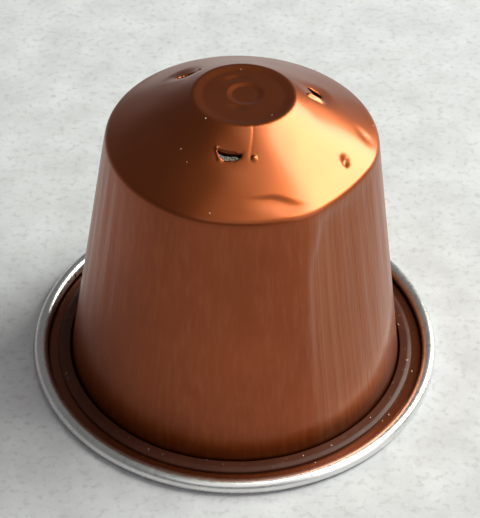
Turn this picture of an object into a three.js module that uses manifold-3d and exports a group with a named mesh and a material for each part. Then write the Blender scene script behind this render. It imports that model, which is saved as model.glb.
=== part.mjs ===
// A pierced aluminium coffee pod, standing on its rim with the cone up, in millimetres.
// The origin is the centre of the rim's underside and +Z is the pod's axis.
import * as THREE from "three";
import { mergeVertices } from "three/addons/utils/BufferGeometryUtils.js";
import Module from "manifold-3d";

// Driving dimensions of the drawn cup
const rimDiameter = 37.1;
const curlDiameter = 1.24;
const sheet = 0.15;
const flangeWidth = 3.45;
const shoulderDiameter = 22.94;
const shoulderHeight = 24.4;
const crownDiameter = 8.4;
const crownHeight = 28.7;
const flangeHeight = 0.35;
const restingLand = 0.25;
const curlTipGap = 0.12;

// The stamped recess in the crown and the dimple in it
const recessDepth = 0.12;
const recessSlope = 0.8;
const dimpleDiameter = 3.1;
const dimpleDepth = 0.22;
const dimpleSlope = 0.45;
const dimpleShift = { x: 0.13, y: 0.2 };

// Bend radii of the sheet's middle surface
const crownBend = 0.5;
const shoulderBend = 0.6;
const footBend = 0.3;

// What handling did to the cup: a slight lean, two flattened panels and a crease above the shoulder
const bodyLean = 0.38;
const panels = [
  { azimuth: -38, halfWidth: 24, depth: 0.42 },
  { azimuth: -84, halfWidth: 24, depth: 0.18 },
];
const crease = { azimuth: -74, halfWidth: 17, radius: 9.7, reach: 1.0, depth: 0.16 };

// The three holes a machine's blades tore in the cone, each with the dent round it
const punctures = [
  { azimuth: -99.7, radius: 6.45, width: 2.0, height: 0.85, turn: 0, dent: 0.1 },
  { azimuth: 20.5, radius: 6.45, width: 1.7, height: 0.8, turn: 27, dent: 0.18 },
  { azimuth: 134, radius: 6.9, width: 2.1, height: 0.8, turn: -38, dent: 0.35 },
];
const dentHalfWidth = 16;
const dentReach = 1.7;
const petalLength = 0.6;

// The sealing ring, foil, fleece filter and coffee
const sealWidth = 0.95;
const sealHeight = 0.42;
const sealClearance = 0.15;
const foilThickness = 0.06;
const foilMargin = 0.3;
const fleeceDrop = 0.3;
const fleeceThickness = 0.25;
const fleeceClearance = 0.25;
const coffeeClearance = 0.35;

const around = 60;
const curlSteps = 10;
const degree = Math.PI / 180;

// Heights and radii that follow from them
const halfSheet = sheet / 2;
const curlRadius = curlDiameter / 2 - halfSheet;
const curlCentre = rimDiameter / 2 - curlDiameter / 2;
const flangeUnderside = flangeHeight - sheet;
const flangeEdge = curlCentre - restingLand - curlDiameter / 2;
const footRadius = rimDiameter / 2 - flangeWidth;
const shoulderRadius = shoulderDiameter / 2;
const crownRadius = crownDiameter / 2;
const bodyHeight = shoulderHeight - flangeHeight;
const coneSlope = Math.atan2(crownHeight - shoulderHeight, shoulderRadius - crownRadius);
const wallSlope = (footRadius - shoulderRadius) / bodyHeight;

const wasm = await Module();
wasm.setup();

// The arc that rounds the corner at here, on the way from before to after.
function roundedCorner(before, here, after, bend, steps) {
  const back = before.clone().sub(here).normalize();
  const ahead = after.clone().sub(here).normalize();
  const half = back.angleTo(ahead) / 2;
  const towardsCentre = back.clone().add(ahead).normalize();
  const centre = here.clone().addScaledVector(towardsCentre, bend / Math.sin(half));
  const start = here.clone().addScaledVector(back, bend / Math.tan(half));
  const turn = Math.sign(back.cross(ahead)) * (2 * half - Math.PI);
  return Array.from({ length: steps + 1 }, (_, k) => start.clone().rotateAround(centre, (turn * k) / steps));
}

// A path through corners, rounding those with a bend and adding rows on the straight before them.
function bentPath(corners) {
  const at = ({ r, z }) => new THREE.Vector2(r, z);
  const path = [];
  corners.forEach((corner, i) => {
    const { bend, steps, rows = 0 } = corner;
    const here = at(corner);
    const points = bend ? roundedCorner(at(corners[i - 1]), here, at(corners[i + 1]), bend, steps) : [here];
    const last = path[path.length - 1];
    for (let k = 1; k <= rows; k++) path.push(last.clone().lerp(points[0], k / (rows + 1)));
    path.push(...points);
  });
  return path;
}

// The middle of the sheet from the crown's centre out to the tip of the rolled rim.
function sheetPath() {
  const dimpleRadius = dimpleDiameter / 2;
  const recessFloor = crownHeight - recessDepth - halfSheet;
  const dimpleFloor = recessFloor - dimpleDepth;
  const coneInset = halfSheet / Math.cos(coneSlope);
  const path = bentPath([
    { r: 0, z: dimpleFloor },
    { r: dimpleRadius - dimpleSlope, z: dimpleFloor },
    { r: dimpleRadius, z: recessFloor },
    { r: crownRadius - recessSlope, z: recessFloor },
    { r: crownRadius, z: crownHeight - coneInset, bend: crownBend, steps: 2 },
    { r: shoulderRadius - halfSheet, z: shoulderHeight - coneInset, bend: shoulderBend, steps: 3, rows: 6 },
    { r: footRadius - halfSheet, z: flangeHeight - halfSheet, bend: footBend, steps: 2, rows: 5 },
    { r: flangeEdge, z: flangeHeight - halfSheet },
    { r: curlCentre - restingLand, z: halfSheet },
  ]);
  const tipAngle = Math.PI + Math.asin((curlDiameter / 2 - flangeHeight - curlTipGap) / curlRadius);
  for (let k = 0; k <= curlSteps; k++) {
    const angle = -Math.PI / 2 + ((tipAngle + Math.PI / 2) * k) / curlSteps;
    const r = curlCentre + curlRadius * Math.cos(angle);
    path.push(new THREE.Vector2(r, curlDiameter / 2 + curlRadius * Math.sin(angle)));
  }
  return path;
}

// The path moved sideways by a distance, to its left as it runs, with mitred corners.
function offsetPath(path, distance) {
  const lastIndex = path.length - 1;
  return path.map((point, i) => {
    const into = (i ? point.clone().sub(path[i - 1]) : path[1].clone().sub(point)).normalize();
    const out = (i < lastIndex ? path[i + 1].clone().sub(point) : into.clone()).normalize();
    const normal = new THREE.Vector2(-into.y - out.y, into.x + out.x).normalize();
    const mitre = normal.x * -into.y + normal.y * into.x;
    return point.clone().addScaledVector(normal, distance / mitre);
  });
}

// 1 at the middle of a bump, falling smoothly to 0 at its reach.
function bump(distance, reach) {
  return Math.abs(distance) < reach ? Math.cos((Math.PI * distance) / reach / 2) ** 2 : 0;
}

function turnBetween(angle, azimuth) {
  const turn = angle / degree - azimuth;
  return turn - 360 * Math.round(turn / 360);
}

// How far a flattened panel lies inside its circle at an angle.
function panelDepth(panel, angle) {
  const turn = turnBetween(angle, panel.azimuth);
  if (Math.abs(turn) >= panel.halfWidth) return 0;
  const edge = Math.cos(panel.halfWidth * degree);
  return (panel.depth * (1 - edge / Math.cos(turn * degree))) / (1 - edge);
}

// Inward travel at a place on the body's profile, growing from foot and crown to the shoulder.
function inwardTravel(place, angle) {
  const upWall = THREE.MathUtils.smoothstep(place.y, flangeHeight + footBend, shoulderHeight);
  const downCone = THREE.MathUtils.smoothstep(place.x, crownRadius, shoulderRadius);
  const travel = panels.reduce((sum, panel) => sum + panelDepth(panel, angle), 0);
  return Math.min(upWall, downCone) * travel;
}

// Downward travel at a place on the cone, from the crease and the dents round the punctures.
function sinking(place, angle) {
  const alongCrease = bump(turnBetween(angle, crease.azimuth), crease.halfWidth);
  let depth = crease.depth * alongCrease * bump(place.x - crease.radius, crease.reach);
  for (const { azimuth, radius, dent } of punctures) {
    const beside = bump(turnBetween(angle, azimuth), dentHalfWidth);
    depth += dent * beside * bump(place.x - radius, dentReach);
  }
  return depth;
}

// The dimple's sideways shift, which fades out over the recess floor.
function shifted(point, middle) {
  const share = 1 - THREE.MathUtils.smoothstep(middle.x, dimpleDiameter / 2, crownRadius - recessSlope);
  point.x += share * dimpleShift.x;
  point.y += share * dimpleShift.y;
  return point;
}

// A point of the body's profile turned to an angle and tilted by the body's lean.
function leaning(r, z, angle) {
  const rise = r > footRadius ? 0 : Math.max(0, z - flangeHeight) / bodyHeight;
  const x = r * Math.cos(angle);
  const tilt = (bodyLean / bodyHeight) * Math.min(1, rise);
  return new THREE.Vector3(x + bodyLean * rise, r * Math.sin(angle), z - tilt * x);
}

// A profile turned about Z, with each of its points put in place by a function of point, angle and index.
function turned(profile, put) {
  const geometry = new THREE.LatheGeometry(profile, around);
  const position = geometry.getAttribute("position");
  for (let k = 0; k < position.count; k++) {
    const i = k % profile.length;
    const step = Math.floor(k / profile.length) % around;
    position.setXYZ(k, ...put(profile[i], (2 * Math.PI * step) / around, i));
  }
  return geometry;
}

function solidFrom(geometry) {
  const bare = geometry.index ? geometry.toNonIndexed() : geometry.clone();
  bare.deleteAttribute("normal");
  bare.deleteAttribute("uv");
  const merged = mergeVertices(bare, 1e-4);
  const mesh = { numProp: 3, vertProperties: merged.attributes.position.array };
  return new wasm.Manifold(new wasm.Mesh({ ...mesh, triVerts: new Uint32Array(merged.index.array) }));
}

function geometryFrom(solid) {
  const { vertProperties, triVerts } = solid.getMesh();
  const geometry = new THREE.BufferGeometry();
  geometry.setAttribute("position", new THREE.BufferAttribute(new Float32Array(vertProperties), 3));
  return geometry.setIndex(new THREE.BufferAttribute(new Uint32Array(triVerts), 1));
}

// A frame on the middle of the cone's sheet: X runs round the cone, Y up its slope and Z out of it.
function sheetFrame(radius, azimuth, turn) {
  const angle = azimuth * degree;
  const drop = (radius - crownRadius) * Math.tan(coneSlope) + halfSheet / Math.cos(coneSlope);
  const middle = new THREE.Vector2(radius, crownHeight - drop);
  const outward = new THREE.Vector3(Math.cos(angle), Math.sin(angle), 0);
  const upSlope = outward.clone().multiplyScalar(-Math.cos(coneSlope)).setZ(Math.sin(coneSlope));
  const normal = outward.clone().multiplyScalar(Math.sin(coneSlope)).setZ(Math.cos(coneSlope));
  const frame = new THREE.Matrix4().makeBasis(upSlope.clone().cross(normal), upSlope, normal);
  frame.setPosition(leaning(radius - inwardTravel(middle, angle), middle.y - sinking(middle, angle), angle));
  return frame.multiply(new THREE.Matrix4().makeRotationZ(turn * degree));
}

// The torn hole: straight along its upper edge, deepest near one end and tapering to the other.
function tearCutter({ azimuth, radius, width, height, turn }) {
  const halfWidth = width / 2;
  const halfHeight = height / 2;
  const outline = new THREE.Shape([
    new THREE.Vector2(-halfWidth, halfHeight),
    new THREE.Vector2(-halfWidth, halfHeight * 0.4),
    new THREE.Vector2(-halfWidth * 0.4, -halfHeight * 0.8),
    new THREE.Vector2(0, -halfHeight),
    new THREE.Vector2(halfWidth * 0.9, -halfHeight * 0.1),
    new THREE.Vector2(halfWidth, halfHeight),
  ]);
  const depth = 2 * dentReach;
  const geometry = new THREE.ExtrudeGeometry(outline, { depth, bevelEnabled: false });
  geometry.translate(0, 0, -depth / 2);
  return solidFrom(geometry.applyMatrix4(sheetFrame(radius, azimuth, turn)));
}

// The petal the blade pushed in, hanging from the sheet just above the hole's upper edge.
function tornPetal({ azimuth, radius, width, height, turn }) {
  const halfWidth = width / 2;
  const outline = new THREE.Shape([
    new THREE.Vector2(-halfWidth * 0.9, 0),
    new THREE.Vector2(-halfWidth * 0.4, -petalLength),
    new THREE.Vector2(halfWidth * 0.1, -petalLength),
    new THREE.Vector2(halfWidth * 0.9, 0),
  ]);
  const geometry = new THREE.ExtrudeGeometry(outline, { depth: sheet, bevelEnabled: false });
  geometry.rotateX(Math.PI / 2);
  geometry.translate(0, halfSheet, 0);
  const away = height / 2 + halfSheet;
  const rootRadius = radius - away * Math.cos(turn * degree) * Math.cos(coneSlope);
  const rootAzimuth = azimuth - (away * Math.sin(turn * degree)) / radius / degree;
  return solidFrom(geometry.applyMatrix4(sheetFrame(rootRadius, rootAzimuth, turn)));
}

function cupGeometry() {
  const path = sheetPath();
  const outer = offsetPath(path, halfSheet);
  const inner = offsetPath(path, -halfSheet);
  const skin = [...inner, ...outer.toReversed()];
  const middles = [...path, ...path.toReversed()];
  const body = turned(skin, (point, angle, i) => {
    const middle = middles[i];
    const radius = point.x - inwardTravel(middle, angle);
    return shifted(leaning(radius, point.y - sinking(middle, angle), angle), middle);
  });
  let cup = solidFrom(body);
  for (const puncture of punctures) {
    cup = cup.subtract(tearCutter(puncture)).add(tornPetal(puncture));
  }
  return geometryFrom(cup);
}

// What lies inside the cup follows its lean and its flattened panels.
function insideBody(corners) {
  return turned(bentPath(corners), (point, angle) =>
    leaning(point.x - inwardTravel(point, angle), point.y, angle),
  );
}

const fleeceUnderside = shoulderHeight - fleeceDrop - fleeceThickness;

// The fleece lies on the coffee, just below the shoulder.
function filterGeometry() {
  const radius = shoulderRadius - shoulderBend - fleeceClearance;
  return insideBody([
    { r: 0, z: fleeceUnderside },
    { r: radius, z: fleeceUnderside },
    { r: radius, z: fleeceUnderside + fleeceThickness },
    { r: 0, z: fleeceUnderside + fleeceThickness },
  ]);
}

// The coffee's side runs a clearance inside the wall.
function coffeeGeometry() {
  const foot = footRadius - sheet - coffeeClearance;
  return insideBody([
    { r: 0, z: flangeUnderside },
    { r: foot, z: flangeUnderside },
    { r: foot - fleeceUnderside * wallSlope, z: fleeceUnderside, rows: 5 },
    { r: 0, z: fleeceUnderside },
  ]);
}

// The ring's section starts from the flange's top face.
function sealGeometry() {
  const inner = footRadius + footBend;
  const outer = inner + sealWidth;
  const lip = footRadius + sealClearance;
  const section = bentPath([
    { r: inner, z: 0 },
    { r: outer, z: 0 },
    { r: outer, z: sealHeight / 2 },
    { r: outer - sealHeight, z: sealHeight },
    { r: lip, z: sealHeight },
    { r: lip, z: sealHeight - sealClearance },
    { r: inner, z: 0 },
  ]);
  return new THREE.LatheGeometry(section, around).rotateX(Math.PI / 2);
}

function foilGeometry() {
  const radius = flangeEdge - foilMargin;
  const disc = new THREE.CylinderGeometry(radius, radius, foilThickness, around);
  return disc.rotateX(Math.PI / 2);
}

function finish(color, roughness, metalness) {
  return new THREE.MeshStandardMaterial({ color, roughness, metalness });
}

const brownLacquer = finish(0x6b3a22, 0.3, 0.9);
const darkSilicone = finish(0x2a1712, 0.45, 0);
const plainFoil = finish(0xc8c8c8, 0.35, 1);
const stainedFleece = finish(0x9e8f7a, 0.95, 0);
const dampGrounds = finish(0x1c110b, 0.85, 0);

function piece(name, geometry, material, height = 0) {
  const mesh = new THREE.Mesh(geometry, material);
  mesh.name = name;
  mesh.position.z = height;
  return mesh;
}

const filling = new THREE.Group();
filling.add(piece("inner_filter", filterGeometry(), stainedFleece));
filling.add(piece("coffee_puck", coffeeGeometry(), dampGrounds));

const pod = new THREE.Group();
pod.add(piece("capsule_shell", cupGeometry(), brownLacquer));
pod.add(piece("sealing_ring", sealGeometry(), darkSilicone, flangeHeight));
pod.add(piece("foil_membrane", foilGeometry(), plainFoil, flangeUnderside - foilThickness / 2));
pod.add(filling);

export default pod;
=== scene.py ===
# A used aluminium coffee pod on a pale table: the detailed pieces, their materials, the light, the camera.
# Lengths are in millimetres until a mesh is made. Azimuths are in degrees, counterclockwise from +X.
import math

import bmesh
import bpy
import numpy as np
from mathutils import Matrix, Vector, noise as value_noise


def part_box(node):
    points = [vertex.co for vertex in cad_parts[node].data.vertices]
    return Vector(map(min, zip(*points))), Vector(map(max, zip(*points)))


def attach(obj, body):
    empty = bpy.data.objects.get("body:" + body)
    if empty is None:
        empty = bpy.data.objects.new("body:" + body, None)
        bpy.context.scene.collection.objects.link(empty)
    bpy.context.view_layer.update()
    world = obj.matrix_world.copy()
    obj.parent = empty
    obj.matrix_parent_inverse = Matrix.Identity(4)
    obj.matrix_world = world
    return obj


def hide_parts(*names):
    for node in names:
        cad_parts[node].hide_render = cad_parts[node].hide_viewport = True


MM = 0.001

# Metres from the origin to each light, and half the table's side
LIGHT_DISTANCE = 0.6
TABLE_HALF = 0.5

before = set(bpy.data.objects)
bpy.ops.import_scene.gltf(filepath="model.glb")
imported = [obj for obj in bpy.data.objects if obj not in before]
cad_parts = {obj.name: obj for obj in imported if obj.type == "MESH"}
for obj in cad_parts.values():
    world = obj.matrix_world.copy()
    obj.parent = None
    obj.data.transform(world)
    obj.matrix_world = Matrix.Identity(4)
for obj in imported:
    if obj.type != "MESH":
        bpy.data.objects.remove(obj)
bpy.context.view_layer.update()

# The cup's sizes, with the rim taken from the frame. The dimple is shallower than in the solids, and the
# crown a hair lower, so that the bent sheet stays inside their height.
RIM_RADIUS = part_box("capsule_shell")[1][0] / MM
CURL_DIAMETER = 1.24
SHEET = 0.15
FOOT_RADIUS = RIM_RADIUS - 3.45
SHOULDER_RADIUS = 11.47
SHOULDER_HEIGHT = 24.4
CROWN_RADIUS = 4.2
CROWN_HEIGHT = 28.69
FLANGE_HEIGHT = 0.35
RESTING_LAND = 0.25
CURL_TIP_GAP = 0.12
CURL_POINTS = 18
RECESS_DEPTH = 0.12
RECESS_SLOPE = 0.8
DIMPLE_RADIUS = 1.55
DIMPLE_DEPTH = 0.1
DIMPLE_SLOPE = 0.45
DIMPLE_SHIFT = (0.13, 0.2, 0)
BODY_LEAN = 0.38
SEAL_HEIGHT = 0.42
SEAL_WIDTH = 0.95
SEAL_INNER_RADIUS = FOOT_RADIUS + 0.3
SEAL_LIP_RADIUS = FOOT_RADIUS + 0.15
SEAL_LIP_HEIGHT = 0.15
SEAL_SIDES = 240

HALF_SHEET = SHEET / 2
CURL_RADIUS = CURL_DIAMETER / 2 - HALF_SHEET
CURL_CENTRE = RIM_RADIUS - CURL_DIAMETER / 2
FLANGE_EDGE = CURL_CENTRE - RESTING_LAND - CURL_DIAMETER / 2
BODY_HEIGHT = SHOULDER_HEIGHT - FLANGE_HEIGHT
CONE_SLOPE = math.atan2(CROWN_HEIGHT - SHOULDER_HEIGHT, SHOULDER_RADIUS - CROWN_RADIUS)

# Handling marks that the solids have too: the two flattened panels, as azimuth, half width and depth, and
# the crease
PANELS = [(-38, 24, 0.42), (-84, 24, 0.18)]
CREASE_AZIMUTH = -74
CREASE_HALF_WIDTH = 17
CREASE_RADIUS = 9.5
CREASE_DEPTH = 0.1

# Marks that only this scene has: the wall's ridge and ripples, the dots pressed into it at an azimuth and a
# height, and the cone's waves
RIDGE_DEPTH = 0.42
RIPPLE_DEPTH = 0.03
WALL_DENTS = [(-94.8, 22.3), (-76.5, 22.4)]
WALL_RADIUS_AT_DENTS = 12
WALL_DENT_REACH = 0.7
WALL_DENT_DEPTH = 0.06
WAVE_DEPTH = 0.012

# Outlines of the punctures, as shares of half their width and height: a slit with an edge that runs
# straight, and the wider mouth of the front one
SLIT = [(-1, 1), (-1.02, 0.4), (-0.7, -0.3), (-0.4, -0.8), (0, -1), (0.45, -0.7), (0.9, -0.1), (1.03, 1)]
MOUTH = [(-1, 1), (-1.02, 0.2), (-0.75, -0.75), (-0.2, -1), (0.5, -0.8), (1, -0.2), (1.05, 0.8)]

# Punctures: azimuth, radius, width, height and turn of the hole, the depth of its dent, its outline
PUNCTURES = [
    (-99.7, 6.45, 2.0, 0.85, 0, 0.1, MOUTH),
    (20.5, 6.45, 1.7, 0.9, 27, 0.18, SLIT),
    (134.0, 6.9, 2.1, 0.8, -38, 0.35, SLIT),
]
DENT_HALF_WIDTH = 16
DENT_REACH = 1.7

# A vertex this near to a tear is drawn onto it, and one off the cone counts as far from all tears
FIT_DISTANCE = 0.045
FAR = 9

# Petals: the turn of the fold, the length that it bends over, the overlap with the sheet, and the share of a
# petal's reach that hangs down
PETAL_FOLD = 98
PETAL_BEND = 0.15
PETAL_OVERLAP = 0.02
PETAL_DROP = 0.8

# Burrs raised beside the punctures: azimuth and radius of both ends, reach and height
BURRS = [
    (-109.8, 6.15, -105.5, 6.8, 0.26, 0.12),
    (12.5, 5.6, 10.5, 6.55, 0.32, 0.24),
    (128.5, 6.25, 126.5, 6.3, 0.3, 0.12),
]


# The camera that a fit to the photo's outlines gave
def make_camera():
    elevation = math.radians(42.15)
    roll = math.radians(0.875)
    distance = 152.666
    target = Vector((0.342, 0, 10.452))
    back = Vector((0, -math.cos(elevation), math.sin(elevation)))
    right = Vector((1, 0, 0))
    up = back.cross(right)
    across = right * math.cos(roll) + up * math.sin(roll)
    upwards = up * math.cos(roll) - right * math.sin(roll)
    data = bpy.data.cameras.new("camera")
    data.sensor_width = 36
    data.lens = 119.32
    data.clip_start = 0.01
    data.clip_end = 10
    camera = bpy.data.objects.new("camera", data)
    turn = Matrix((across, upwards, back)).transposed()
    camera.matrix_world = Matrix.LocRotScale((target + back * distance) * MM, turn, None)
    bpy.context.collection.objects.link(camera)
    bpy.context.scene.camera = camera


def smoothstep(low, high, value):
    share = np.clip((value - low) / (high - low), 0, 1)
    return share * share * (3 - 2 * share)


# 1 at the middle of a bump, falling smoothly to 0 at its reach.
def bump(distance, reach):
    return np.where(np.abs(distance) < reach, np.cos(np.pi * distance / reach / 2) ** 2, 0)


def turn_between(azimuth, middle):
    return (azimuth - middle + 180) % 360 - 180


# The arc that rounds the corner at here, on the way from before to after.
def rounded_corner(before, here, after, bend, steps=6):
    back = (before - here).normalized()
    ahead = (after - here).normalized()
    half = back.angle(ahead) / 2
    centre = here + (back + ahead).normalized() * (bend / math.sin(half))
    start = here + back * (bend / math.tan(half)) - centre
    turn = math.copysign(math.pi - 2 * half, -(back.x * ahead.y - back.y * ahead.x))
    return [centre + Matrix.Rotation(turn * k / steps, 2) @ start for k in range(steps + 1)]


# A path through corners of (r, z, bend, spacing), with a straight's points at most the spacing apart.
def bent_path(corners):
    path = []
    for i, (r, z, bend, spacing) in enumerate(corners):
        here = Vector((r, z))
        points = [here]
        if bend:
            before = Vector(corners[i - 1][:2])
            after = Vector(corners[i + 1][:2])
            points = rounded_corner(before, here, after, bend)
        if path:
            last = path[-1]
            count = math.ceil((points[0] - last).length / spacing)
            path += [last.lerp(points[0], k / count) for k in range(1, count)]
        path += points
    return path


# The middle of the sheet from the crown's centre out to the tip of the rolled rim.
def sheet_path():
    recess_floor = CROWN_HEIGHT - RECESS_DEPTH - HALF_SHEET
    dimple_floor = recess_floor - DIMPLE_DEPTH
    cone_inset = HALF_SHEET / math.cos(CONE_SLOPE)
    flange_middle = FLANGE_HEIGHT - HALF_SHEET
    path = bent_path([
        (0, dimple_floor, 0, 1),
        (DIMPLE_RADIUS - DIMPLE_SLOPE, dimple_floor, 0.5, 0.25),
        (DIMPLE_RADIUS, recess_floor, 0.3, 0.1),
        (CROWN_RADIUS - RECESS_SLOPE, recess_floor, 1.5, 0.25),
        (CROWN_RADIUS, CROWN_HEIGHT - cone_inset, 0.5, 0.2),
        (SHOULDER_RADIUS - HALF_SHEET, SHOULDER_HEIGHT - cone_inset, 0.6, 0.12),
        (FOOT_RADIUS - HALF_SHEET, flange_middle, 0.3, 0.9),
        (FLANGE_EDGE, flange_middle, 0.2, 0.3),
        (CURL_CENTRE - RESTING_LAND, HALF_SHEET, 0, 0.15),
    ])
    tip_sink = (CURL_DIAMETER / 2 - FLANGE_HEIGHT - CURL_TIP_GAP) / CURL_RADIUS
    for angle in np.linspace(-math.pi / 2, math.pi + math.asin(tip_sink), CURL_POINTS):
        r = CURL_CENTRE + CURL_RADIUS * math.cos(angle)
        path.append(Vector((r, CURL_DIAMETER / 2 + CURL_RADIUS * math.sin(angle))))
    return np.array([tuple(point) for point in path])


# Azimuths a coarse step apart, and a fine step apart near the punctures and the fold beside the first.
def column_azimuths(coarse=1.8, fine=0.8):
    fine_spans = [(-114, -76), (9, 33), (119, 151)]
    azimuths = []
    azimuth = -180.0
    while azimuth < 180 - 1e-6:
        azimuths.append(azimuth)
        near = any(low <= azimuth < high for low, high in fine_spans)
        azimuth += fine if near else coarse
    return np.array(azimuths)


# How far the flattened panels lie inside their circle, with the edges between them eased.
def panel_travel(r, z, azimuth, easing=(-6, -3, 0, 3, 6)):
    travel = np.zeros_like(azimuth)
    for middle, half_width, depth in PANELS:
        edge = math.cos(math.radians(half_width))
        for offset in easing:
            turn = np.radians(turn_between(azimuth + offset, middle))
            share = np.clip(1 - edge / np.maximum(np.cos(turn), edge), 0, 1) / (1 - edge)
            travel += depth * share / len(easing)
    up_wall = smoothstep(FLANGE_HEIGHT + 0.3, SHOULDER_HEIGHT, z)
    down_cone = smoothstep(CROWN_RADIUS, SHOULDER_RADIUS, r) ** 2
    return np.minimum(up_wall, down_cone) * travel + wall_marks(r, z, azimuth)


# The pressed-in face right of a ridge down the wall, and the wrinkles beside it.
def wall_marks(r, z, azimuth):
    below_shoulder = 1 - smoothstep(SHOULDER_HEIGHT - 1.6, SHOULDER_HEIGHT - 0.5, z)
    on_wall = smoothstep(2, 14, z) * below_shoulder * (r > SHOULDER_RADIUS - 0.5)
    ridge = -61 + 6 * smoothstep(18, 24, z)
    turn = turn_between(azimuth, ridge)
    face = smoothstep(-2.5, 2.5, turn) * (1 - smoothstep(4, 40, turn))
    beside = bump(turn_between(azimuth, -30), 38) + bump(turn_between(azimuth, -158), 38)
    angle = np.radians(azimuth)
    ripple = np.sin(angle * 47 + 0.12 * z) + 0.7 * np.sin(angle * 31 - 0.2 * z + 1)
    dents = np.zeros_like(azimuth)
    for middle, height in WALL_DENTS:
        across = np.radians(turn_between(azimuth, middle)) * WALL_RADIUS_AT_DENTS
        dents += bump(np.hypot(across, z - height), WALL_DENT_REACH)
    return on_wall * (RIDGE_DEPTH * face + RIPPLE_DEPTH * beside * ripple + WALL_DENT_DEPTH * dents)


# A puncture's own coordinates: X round the cone and Y up its slope, turned with the hole.
def puncture_plane(puncture, r, azimuth):
    middle, radius, _, _, turn, _, _ = puncture
    across = np.radians(turn_between(azimuth, middle)) * r
    upwards = (radius - r) / math.cos(CONE_SLOPE)
    c, s = math.cos(math.radians(turn)), math.sin(math.radians(turn))
    return across * c + upwards * s, upwards * c - across * s


def out_of_plane(puncture, x, y):
    middle, radius, _, _, turn, _, _ = puncture
    c, s = math.cos(math.radians(turn)), math.sin(math.radians(turn))
    across, upwards = x * c - y * s, x * s + y * c
    r = radius - upwards * math.cos(CONE_SLOPE)
    return r, middle + np.degrees(across / r)


def tear_outline(puncture):
    _, _, width, height, _, _, shares = puncture
    return np.array(shares) * (width / 2, height / 2)


# Signed distance from the outline, negative inside, and the nearest point on it.
def outline_distance(outline, x, y):
    points = np.stack([x, y], -1)
    best = np.full(x.shape, 1e9)
    nearest = np.zeros(points.shape)
    inside = np.zeros(x.shape, bool)
    for start, end in zip(outline, np.roll(outline, -1, axis=0)):
        edge = end - start
        share = np.clip(((points - start) @ edge) / (edge @ edge), 0, 1)
        foot = start + share[..., None] * edge
        distance = np.linalg.norm(points - foot, axis=-1)
        closer = distance < best
        best = np.where(closer, distance, best)
        nearest = np.where(closer[..., None], foot, nearest)
        crosses = (start[1] > y) != (end[1] > y)
        rise = edge[1] if abs(edge[1]) > 1e-12 else 1e-12
        inside ^= crosses & (x < start[0] + (y - start[1]) / rise * edge[0])
    return np.where(inside, -best, best), nearest


# Downward travel of the cone.
def sinking(r, azimuth):
    below = r - CREASE_RADIUS - 1.2 * smoothstep(-76, -57, azimuth)
    edge = smoothstep(-0.1, 0.14, below) * (1 - smoothstep(0.3, 1.6, below))
    depth = CREASE_DEPTH * bump(turn_between(azimuth, CREASE_AZIMUTH), CREASE_HALF_WIDTH) * edge
    for puncture in PUNCTURES:
        middle, radius, _, _, _, dent, _ = puncture
        around = bump(turn_between(azimuth, middle), DENT_HALF_WIDTH)
        depth += dent * around * bump(r - radius, DENT_REACH)
        x, y = puncture_plane(puncture, r, azimuth)
        away, _ = outline_distance(tear_outline(puncture), x, y)
        depth += 0.03 * np.exp(-((np.maximum(away, 0) / 0.12) ** 2)) * (away < 1)
    depth -= burr_height(r, azimuth)
    depth += radial_crease(r, azimuth)
    depth += pit(r, azimuth)
    depth += soft_waves(r, azimuth)
    return depth


def burr_height(r, azimuth):
    total = np.zeros_like(r)
    for start_azimuth, start_r, end_azimuth, end_r, reach, height in BURRS:
        share = np.clip((r - start_r) / (end_r - start_r), 0, 1)
        line = start_azimuth + share * (end_azimuth - start_azimuth)
        across = np.radians(turn_between(azimuth, line)) * r
        total += height * bump(np.hypot(across, r - start_r - share * (end_r - start_r)), reach)
    return total


# The cone's shallow waves, and the fold at its right edge.
def soft_waves(r, azimuth):
    angle = np.radians(azimuth)
    wave = np.sin(5 * angle + 1.3 * r)
    wave += 0.8 * np.sin(9 * angle - 0.9 * r + 2)
    wave += 0.6 * np.sin(14 * angle + 0.5 * r)
    fold = bump(angle * r + 0.5 + 0.6 * (r - 9.9), 0.9) * bump(r - 10.1, 1.1)
    return WAVE_DEPTH * wave * smoothstep(4.2, 6, r) * (1 - smoothstep(10.4, 11.2, r)) + 0.09 * fold


# Two soft dents on the crown, behind and before the dimple's left side.
def crown_marks(r, azimuth):
    behind = bump(turn_between(azimuth, 112), 34) * bump(r - 2.35, 0.5)
    before = bump(turn_between(azimuth, -108), 30) * bump(r - 1.95, 0.42)
    return 0.1 * behind + 0.09 * before


# The fine fold from the crown's edge down beside the front puncture, with a raised bead at its end.
def radial_crease(r, azimuth):
    line = -80 - 4.8 * smoothstep(4.0, 6.7, r)
    off = np.radians(turn_between(azimuth, line)) * r
    along = smoothstep(3.8, 4.4, r) * (1 - smoothstep(6.3, 6.9, r))
    fold = 0.035 * np.exp(-np.abs(off) / np.where(off > 0, 0.3, 0.06)) * along
    bead = 0.17 * bump(np.hypot(np.radians(turn_between(azimuth, -82.0)) * r, r - 6.6), 0.28)
    return fold - bead


# The V-shaped pit that something sharp left on the right.
def pit(r, azimuth):
    across = np.radians(turn_between(azimuth, -26.7)) * r
    down = r - 9.7
    left = bump(across + 0.2 + 0.5 * down, 0.5) * bump(down + 0.1, 0.7)
    right = bump(across - 0.33 - 0.3 * down, 0.22) * bump(down + 0.15, 0.4)
    return 0.32 * left + 0.12 * right


def leaning(x, y, z, on_body):
    rise = np.where(on_body, np.maximum(0, z - FLANGE_HEIGHT) / BODY_HEIGHT, 0)
    tilt = BODY_LEAN / BODY_HEIGHT * np.minimum(rise, 1)
    return np.stack([x + BODY_LEAN * rise, y, z - tilt * x], -1)


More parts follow.
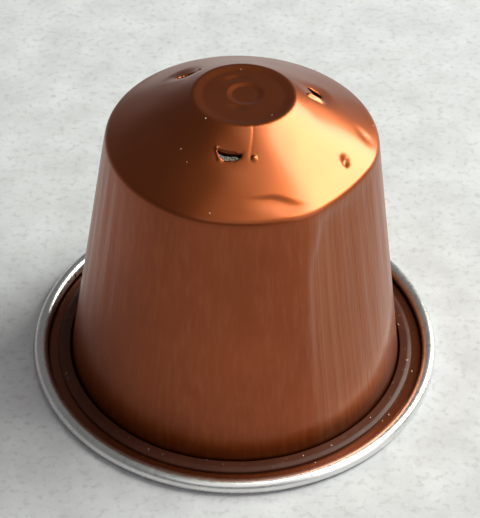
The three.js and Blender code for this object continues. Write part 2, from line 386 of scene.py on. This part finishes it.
# Places on the sheet from profile radius and height and azimuth.
def placed(r, z, azimuth, lift=0):
    on_cone = (r > CROWN_RADIUS - 0.4) & (r < SHOULDER_RADIUS)
    radius = r - panel_travel(r, z, azimuth)
    height = z + lift - np.where(on_cone & (z > SHOULDER_HEIGHT - 1), sinking(r, azimuth), 0)
    height = height - np.where(r < CROWN_RADIUS - RECESS_SLOPE, crown_marks(r, azimuth), 0)
    angle = np.radians(azimuth)
    shift = 1 - smoothstep(DIMPLE_RADIUS, CROWN_RADIUS - RECESS_SLOPE, r)
    places = leaning(radius * np.cos(angle), radius * np.sin(angle), height, r <= FOOT_RADIUS)
    return places + shift[..., None] * DIMPLE_SHIFT


# Draws the cone's vertices nearest to a tear onto its outline. Returns each vertex's distance from it.
def fit_to_tear(puncture, r, azimuth):
    outline = tear_outline(puncture)
    x, y = puncture_plane(puncture, r, azimuth)
    away, nearest = outline_distance(outline, x, y)
    away = np.where((r > CROWN_RADIUS) & (r < SHOULDER_RADIUS), away, FAR)
    near = np.abs(away) < FIT_DISTANCE
    fitted_r, fitted_azimuth = out_of_plane(puncture, nearest[..., 0], nearest[..., 1])
    r[near] = fitted_r[near]
    azimuth[near] = fitted_azimuth[near]
    away[near] = 0
    return away


# The height of the sheet's middle on the cone, at a radius.
def cone_height(r, path):
    radii, heights = path.T
    cone = path[(radii > CROWN_RADIUS) & (radii < SHOULDER_RADIUS) & (heights > SHOULDER_HEIGHT)]
    order = np.argsort(cone[:, 0])
    return np.interp(r, cone[order, 0], cone[order, 1])


# The sheet as rows round the axis, without the torn faces, which become petals, and closed at the hub.
def cup_mesh():
    path = sheet_path()
    columns = column_azimuths()
    r, azimuth = np.meshgrid(path[1:, 0], columns, indexing="ij")
    z = np.repeat(path[1:, 1][:, None], len(columns), axis=1)
    tears = [fit_to_tear(puncture, r, azimuth) for puncture in PUNCTURES]
    fitted = np.minimum.reduce([np.abs(away) for away in tears]) == 0
    z[fitted] = cone_height(r[fitted], path)
    vertices = [placed(r, z, azimuth).reshape(-1, 3)]
    index = np.arange(r.size).reshape(r.shape)
    beside = np.roll(index, -1, 1)
    quads = np.stack([index[:-1], index[1:], beside[1:], beside[:-1]], -1).reshape(-1, 4)
    torn = np.zeros(len(quads), bool)
    used = r.size
    petals = []
    for puncture, away in zip(PUNCTURES, tears):
        inside = away.reshape(-1)[quads].max(axis=1) <= 0
        torn |= inside
        corners, faces = np.unique(quads[inside], return_inverse=True)
        flat = [values.reshape(-1)[corners] for values in (r, z, azimuth)]
        vertices.append(petal_places(puncture, *flat))
        petals.append(faces.reshape(-1, 4) + used)
        used += len(corners)
    vertices.append(placed(np.zeros(1), path[:1, 1], np.zeros(1)))
    hub = used
    fans = [(hub, here, there) for here, there in zip(index[0].tolist(), beside[0].tolist())]
    return np.concatenate(vertices), np.concatenate([quads[~torn], *petals]).tolist() + fans


# The petal that a blade pushed in: the torn piece of cone, folded down about the hole's upper edge.
def petal_places(puncture, r, z, azimuth):
    top = puncture[3] / 2
    x, y = puncture_plane(puncture, r, azimuth)
    reach = np.maximum(top - y, 0)
    fold = math.radians(PETAL_FOLD) * smoothstep(0, PETAL_BEND, reach)
    flat_r, flat_azimuth = out_of_plane(puncture, x, top - PETAL_OVERLAP - reach * np.cos(fold))
    flat_z = z + (r - flat_r) * math.tan(CONE_SLOPE)
    lift = -reach * np.sin(fold) / math.cos(CONE_SLOPE) * PETAL_DROP
    return placed(flat_r, flat_z, flat_azimuth, lift)


# A mesh piece from places in millimetres, with smooth faces.
def new_piece(name, vertices, faces, slot, *materials):
    mesh = bpy.data.meshes.new(name)
    mesh.from_pydata((np.asarray(vertices) * MM).tolist(), [], faces)
    mesh.validate()
    mesh.shade_smooth()
    for material in materials:
        mesh.materials.append(material)
    piece = bpy.data.objects.new(name, mesh)
    bpy.context.collection.objects.link(piece)
    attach(piece, "root")
    return piece


# A ring-shaped lathe body from a profile of (r, z) that closes on itself.
def lathe(profile, count, place):
    angles = np.linspace(0, 2 * np.pi, count, endpoint=False)
    vertices = [place(r, z, angle) for r, z in profile for angle in angles]
    index = np.arange(len(vertices)).reshape(-1, count)
    outer = np.roll(index, -1, 0)
    beside = np.roll(index, -1, 1)
    faces = np.stack([index, beside, np.roll(outer, -1, 1), outer], -1)
    return vertices, faces.reshape(-1, 4).tolist()


# A new material with its constant values, its node tree and its shader.
def new_material(name, **values):
    material = bpy.data.materials.new(name)
    material.use_nodes = True
    shader = material.node_tree.nodes["Principled BSDF"]
    for socket, value in values.items():
        shader.inputs[socket.replace("_", " ")].default_value = value
    return material, material.node_tree, shader


# A shader node with its inputs, as values or as sockets to link from.
def add_node(tree, kind, inputs=None, **settings):
    node = tree.nodes.new("ShaderNode" + kind)
    for key, value in settings.items():
        setattr(node, key, value)
    for key, value in (inputs or {}).items():
        if isinstance(value, bpy.types.NodeSocket):
            tree.links.new(value, node.inputs[key])
        else:
            node.inputs[key].default_value = value
    return node


def object_place(tree, scale=(1, 1, 1)):
    coordinates = add_node(tree, "TexCoord")
    mapping = add_node(tree, "Mapping", {"Vector": coordinates.outputs["Object"], "Scale": scale})
    return mapping.outputs["Vector"]


def noise(tree, place, scale, detail=2, roughness=0.5):
    inputs = {"Vector": place, "Scale": scale, "Detail": detail, "Roughness": roughness}
    return add_node(tree, "TexNoise", inputs).outputs["Fac"]


def ranged(tree, value, low, high, to_low=0.0, to_high=1.0):
    inputs = {"Value": value, "From Min": low, "From Max": high}
    inputs.update({"To Min": to_low, "To Max": to_high})
    return add_node(tree, "MapRange", inputs).outputs["Result"]


# The mix of two tones, of the colour kind, whose sockets share their names with those of other kinds.
def blended(tree, factor, first, second):
    inputs = {0: factor, 6: first, 7: second}
    return add_node(tree, "Mix", inputs, data_type="RGBA").outputs[2]


def product(tree, first, second):
    return add_node(tree, "Math", {0: first, 1: second}, operation="MULTIPLY").outputs[0]


# How far a place lies along a direction.
def distance_along(tree, place, direction):
    inputs = {0: place, 1: direction}
    return add_node(tree, "VectorMath", inputs, operation="DOT_PRODUCT").outputs["Value"]


def raised(tree, height, distance, strength=1.0, normal=None):
    inputs = {"Height": height, "Distance": distance, "Strength": strength}
    if normal is not None:
        inputs["Normal"] = normal
    return add_node(tree, "Bump", inputs).outputs["Normal"]


def link(tree, value, shader, socket):
    tree.links.new(value, shader.inputs[socket])


# Brown lacquer over drawn aluminium: streaks down the wall, painted highlight lines on its right, painted
# shade darkening the flange.
def lacquer():
    values = {"Metallic": 1.0, "IOR": 1.5}
    values.update({"Coat_Weight": 0.35, "Coat_Roughness": 0.2, "Coat_IOR": 1.5})
    material, tree, shader = new_material("brown_lacquer", **values)
    height = add_node(tree, "SeparateXYZ", {"Vector": object_place(tree)}).outputs["Z"]
    on_wall = ranged(tree, height, SHOULDER_HEIGHT * MM, (SHOULDER_HEIGHT - 0.6) * MM)
    streaks = noise(tree, object_place(tree, (1, 1, 0.012)), 2400, 3, 0.6)
    streaks = product(tree, streaks, on_wall)
    clouds = ranged(tree, noise(tree, object_place(tree), 140, 3), 0.3, 0.7)
    grain = noise(tree, object_place(tree), 6000, 2)
    tone = blended(tree, clouds, (0.25, 0.05, 0.01, 1), (0.3, 0.064, 0.014, 1))
    tone = blended(tree, ranged(tree, streaks, 0.45, 0.75, 0, 0.5), tone, (0.36, 0.1, 0.032, 1))
    # The pale lines on the wall's right side are painted highlight.
    tone = blended(tree, painted_highlight_lines(tree, on_wall), tone, (0.35, 0.13, 0.06, 1))
    # The flange and the lowest part of the cup are darker: painted shade.
    painted_flange_shade = ranged(tree, height, 0.9 * MM, 0.55 * MM)
    tone = blended(tree, painted_flange_shade, tone, (0.14, 0.032, 0.01, 1))
    link(tree, tone, shader, "Base Color")
    link(tree, ranged(tree, streaks, 0, 0.7, 0.38, 0.46), shader, "Roughness")
    fine = raised(tree, grain, 0.000004, 0.5)
    link(tree, raised(tree, streaks, 0.00007, 0.6, fine), shader, "Normal")
    return material


# Painted highlight: pale straight lines down the wall, from the ridge to where they fade out on the right,
# on the side where the light falls.
def painted_highlight_lines(tree, on_wall):
    place = object_place(tree)
    level = object_place(tree, (1, 1, 0))
    outwards = add_node(tree, "VectorMath", {0: level}, operation="NORMALIZE").outputs["Vector"]
    lines = ranged(tree, noise(tree, outwards, 48, 3, 0.6), 0.38, 0.62, 0.15, 0.75)
    beyond_ridge = ranged(tree, distance_along(tree, place, (0.875, 0.485, 0)), -0.2 * MM, 0.8 * MM)
    on_right = ranged(tree, distance_along(tree, place, (0.985, -0.174, 0)), 0, 8 * MM)
    return product(tree, product(tree, product(tree, on_wall, lines), beyond_ridge), on_right)


# The sheet's bare side, seen on the rolled rim and on the torn edges.
def bare_aluminium():
    material, tree, shader = new_material("bare_aluminium", Metallic=1.0)
    clouds = noise(tree, object_place(tree), 260, 3)
    scratches = noise(tree, object_place(tree, (1, 1, 0.2)), 2600, 3, 0.6)
    tone = blended(tree, clouds, (0.7, 0.69, 0.68, 1), (0.86, 0.85, 0.84, 1))
    link(tree, tone, shader, "Base Color")
    link(tree, ranged(tree, scratches, 0.3, 0.7, 0.26, 0.36), shader, "Roughness")
    link(tree, raised(tree, scratches, 0.000004, 0.4), shader, "Normal")
    return material


# Dark brown silicone with dust on it.
def silicone():
    values = {"Roughness": 0.38, "Specular_IOR_Level": 0.15}
    material, tree, shader = new_material("dark_silicone", **values)
    clouds = noise(tree, object_place(tree), 420, 3)
    dusty = ranged(tree, noise(tree, object_place(tree), 2400, 2, 0.6), 0.7, 0.78)
    tone = blended(tree, clouds, (0.036, 0.009, 0.005, 1), (0.07, 0.02, 0.011, 1))
    link(tree, blended(tree, dusty, tone, (0.42, 0.33, 0.27, 1)), shader, "Base Color")
    link(tree, raised(tree, clouds, 0.00004, 0.6), shader, "Normal")
    return material


# Satin foil with the faint wrinkles of a stretched lid.
def foil():
    material, tree, shader = new_material("plain_foil", Metallic=1.0)
    wrinkles = noise(tree, object_place(tree), 300, 5, 0.6)
    tone = blended(tree, wrinkles, (0.68, 0.68, 0.68, 1), (0.84, 0.84, 0.83, 1))
    link(tree, tone, shader, "Base Color")
    link(tree, ranged(tree, wrinkles, 0.3, 0.7, 0.22, 0.36), shader, "Roughness")
    link(tree, raised(tree, wrinkles, 0.00008, 0.6), shader, "Normal")
    return material


# Bonded fibres, stained by coffee.
def fleece():
    material, tree, shader = new_material("stained_fleece", Roughness=0.95)
    fibres = noise(tree, object_place(tree, (1, 0.15, 1)), 5200, 3, 0.7)
    stains = ranged(tree, noise(tree, object_place(tree), 240, 4), 0.35, 0.65)
    tone = blended(tree, stains, (0.16, 0.09, 0.05, 1), (0.42, 0.33, 0.25, 1))
    link(tree, tone, shader, "Base Color")
    link(tree, raised(tree, fibres, 0.00005, 0.8), shader, "Normal")
    return material


# Ground coffee, in grains of a few tenths of a millimetre, paler at each grain's middle and darker towards
# its edge, which is painted shade between the grains.
def grounds(name, dark, pale):
    material, tree, shader = new_material(name, Roughness=0.6)
    grains = add_node(tree, "TexVoronoi", {"Vector": object_place(tree), "Scale": 4200.0})
    from_middle = grains.outputs["Distance"]
    # Darker towards each grain's edge: painted shade between grains.
    link(tree, blended(tree, from_middle, pale, dark), shader, "Base Color")
    link(tree, raised(tree, ranged(tree, from_middle, 0, 1, 1, 0), 0.0001, 1), shader, "Normal")
    return material


# Pale dust that shines a little.
def dust():
    material, tree, shader = new_material("pale_dust", Roughness=0.5)
    clouds = noise(tree, object_place(tree), 9000, 2)
    tone = blended(tree, clouds, (0.45, 0.3, 0.2, 1), (0.8, 0.62, 0.45, 1))
    link(tree, tone, shader, "Base Color")
    return material


def pale_table():
    material, tree, shader = new_material("pale_table", Roughness=0.75)
    clouds = ranged(tree, noise(tree, object_place(tree), 220, 5, 0.6), 0.3, 0.7)
    specks = noise(tree, object_place(tree), 1400, 3, 0.6)
    tone = blended(tree, clouds, (0.415, 0.4, 0.42, 1), (0.515, 0.5, 0.525, 1))
    tone = blended(tree, ranged(tree, specks, 0.52, 0.72, 0, 0.7), tone, (0.34, 0.315, 0.33, 1))
    link(tree, tone, shader, "Base Color")
    link(tree, raised(tree, specks, 0.00004, 0.5), shader, "Normal")
    return material


def make_cup(brown, bare):
    vertices, faces = cup_mesh()
    cup = new_piece("detailed_cup", vertices, faces, "lacquered_cup", brown, bare)
    solid = cup.modifiers.new("sheet", "SOLIDIFY")
    solid.thickness = SHEET * MM
    solid.offset = 0
    solid.material_offset = 1
    solid.use_even_offset = True
    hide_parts("capsule_shell")


def make_seal(material):
    base = FLANGE_HEIGHT
    top = base + SEAL_HEIGHT
    outer = SEAL_INNER_RADIUS + SEAL_WIDTH
    corners = [
        (SEAL_INNER_RADIUS, base, 0, 1),
        (outer, base, 0, 0.2),
        (outer, base + SEAL_HEIGHT * 0.6, 0.15, 0.1),
        (outer - SEAL_HEIGHT, top, 0.4, 0.1),
        (SEAL_LIP_RADIUS, top, 0.06, 0.1),
        (SEAL_LIP_RADIUS, top - SEAL_LIP_HEIGHT, 0, 0.1),
        (SEAL_INNER_RADIUS, base, 0, 0.1),
    ]
    profile = [tuple(point) for point in bent_path(corners)][:-1]

    def place(r, z, angle):
        ripple = 0.02 * math.sin(7 * angle) + 0.015 * math.sin(17 * angle + 1)
        height = z - max(0, z - base) / SEAL_HEIGHT * abs(ripple)
        return (r * math.cos(angle), r * math.sin(angle), height)

    vertices, faces = lathe(profile, SEAL_SIDES, place)
    seal = new_piece("detailed_seal", vertices, faces, "sealing_ring", material)
    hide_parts("sealing_ring")


# A rough grain, as a low icosphere pushed in and out by a noise that its own place fixes.
def add_grain(mesh, place, radius):
    made = bmesh.ops.create_icosphere(mesh, subdivisions=2, radius=radius)
    for vertex in made["verts"]:
        rough = 1 + 0.45 * value_noise.noise(vertex.co * (1.3 / radius) + Vector(place))
        vertex.co = vertex.co * rough + Vector(place)


def make_grains(name, grains, material):
    mesh = bmesh.new()
    for place, radius in grains:
        add_grain(mesh, Vector(place) * MM, radius * MM)
    data = bpy.data.meshes.new(name)
    mesh.to_mesh(data)
    mesh.free()
    data.shade_smooth()
    data.materials.append(material)
    piece = bpy.data.objects.new(name, data)
    bpy.context.collection.objects.link(piece)
    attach(piece, "root")


# Where a grain of a radius sits on the outside of the cup or the ring.
def on_surface(r, azimuth, radius):
    path = sheet_path()
    body = path[path[:, 0] <= FLANGE_EDGE]
    z = float(np.interp(r, body[:, 0], body[:, 1]))
    if SEAL_INNER_RADIUS < r < SEAL_INNER_RADIUS + 0.7:
        z = FLANGE_HEIGHT + SEAL_HEIGHT - HALF_SHEET
    place = placed(np.array([float(r)]), np.array([z]), np.array([float(azimuth)]))[0]
    return place + np.array([0, 0, HALF_SHEET + radius * 0.2]), radius


# Specks of dust, each as the radius and azimuth of its place and its own radius.
def make_specks(material):
    cone = [(4.45, -133.2, 0.06), (7.19, -133.5, 0.045), (7.8, -124.6, 0.04)]
    cone += [(10.85, -103.3, 0.06), (11.1, 8, 0.05)]
    crown = [(3.5, -49, 0.04), (3.5, 94.4, 0.035)]
    ring = [(15.65, -39.5, 0.06), (15.74, -67.3, 0.06)]
    flange = [(16.6, -13.1, 0.07), (16.5, -37, 0.05), (16.55, -33.7, 0.07), (16.55, -64.5, 0.06)]
    places = [on_surface(*speck) for speck in cone + crown + ring + flange]
    make_grains("dust_specks", places, material)


# Grounds that cling under the lower edge of the front puncture, in rows that touch.
def make_clinging_grounds(material):
    random = np.random.default_rng(4)
    grains = []
    for row_radius, sink in ((6.9, 0.6), (6.7, 0.5), (6.52, 0.9), (6.36, 1.5)):
        for azimuth in np.linspace(-107, -94, 12):
            radius = random.uniform(0.12, 0.18)
            place, _ = on_surface(row_radius + random.uniform(-0.05, 0.05), azimuth, 0)
            grains.append((place - np.array([0, 0, SHEET + radius * sink]), radius))
    make_grains("clinging_grounds", grains, material)


def dress(node, material):
    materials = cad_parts[node].data.materials
    materials.clear()
    materials.append(material)


def make_floor():
    mesh = bpy.data.meshes.new("table")
    corners = [(x * TABLE_HALF, y * TABLE_HALF, 0) for x, y in ((-1, -1), (1, -1), (1, 1), (-1, 1))]
    mesh.from_pydata(corners, [], [(0, 1, 2, 3)])
    mesh.materials.append(pale_table())
    floor = bpy.data.objects.new("table", mesh)
    bpy.context.collection.objects.link(floor)


# An area light that faces the origin from a direction, with its first side along an axis.
def area_light(name, direction, long_axis, size, power, color=(1, 1, 1)):
    data = bpy.data.lights.new(name, "AREA")
    data.color = color
    data.shape = "RECTANGLE"
    data.size, data.size_y = size
    data.energy = power
    lamp = bpy.data.objects.new(name, data)
    towards = Vector(direction).normalized()
    along = Vector(long_axis)
    along = (along - towards * along.dot(towards)).normalized()
    turn = Matrix((along, towards.cross(along), towards)).transposed()
    lamp.matrix_world = Matrix.LocRotScale(towards * LIGHT_DISTANCE, turn, None)
    bpy.context.collection.objects.link(lamp)


# A dim room, a little paler near the horizon.
def make_world():
    world = bpy.data.worlds.new("studio")
    world.use_nodes = True
    tree = world.node_tree
    place = add_node(tree, "TexCoord").outputs["Generated"]
    height = add_node(tree, "SeparateXYZ", {"Vector": place}).outputs["Z"]
    background = tree.nodes["Background"]
    background.inputs["Color"].default_value = (1, 1, 1, 1)
    link(tree, ranged(tree, height, 0.12, 0.36, 0.27, 0.15), background, "Strength")
    bpy.context.scene.world = world


# A bright window on the right, four strips that carry its glow round, and two soft fills from the front.
def make_light():
    make_world()
    daylight = (0.93, 1, 0.9)
    window_axis = (0.18, 0.68, -0.45)
    area_light("window", (0.69, 0.3, 0.66), window_axis, (0.6, 0.22), 7.0, daylight)
    start = Vector((0.65, 0.32, 0.42))
    sweep = Vector((-0.78, -0.62, 0.56))
    for step, power in enumerate((0.45, 0.16, 0.06, 0.03)):
        direction = start + sweep * math.sin(math.radians(31 + 8 * step))
        area_light(f"glow_{step}", direction, window_axis, (0.085, 0.24), power, daylight)
    area_light("front", (0, -0.6, 0.8), (1, 0, 0), (0.45, 0.4), 0.45)
    area_light("fill", (0.75, -0.45, 0.45), (0, 0, 1), (0.45, 0.45), 0.9)


make_camera()
make_light()
make_floor()
bare = bare_aluminium()
make_cup(lacquer(), bare)
make_seal(silicone())
dress("foil_membrane", foil())
dress("inner_filter", fleece())
dress("coffee_puck", grounds("damp_grounds", (0.03, 0.018, 0.012, 1), (0.1, 0.075, 0.06, 1)))
make_clinging_grounds(grounds("drying_grounds", (0.05, 0.04, 0.035, 1), (0.24, 0.21, 0.19, 1)))
make_specks(dust())
bpy.context.scene.view_settings.view_transform = "Standard"
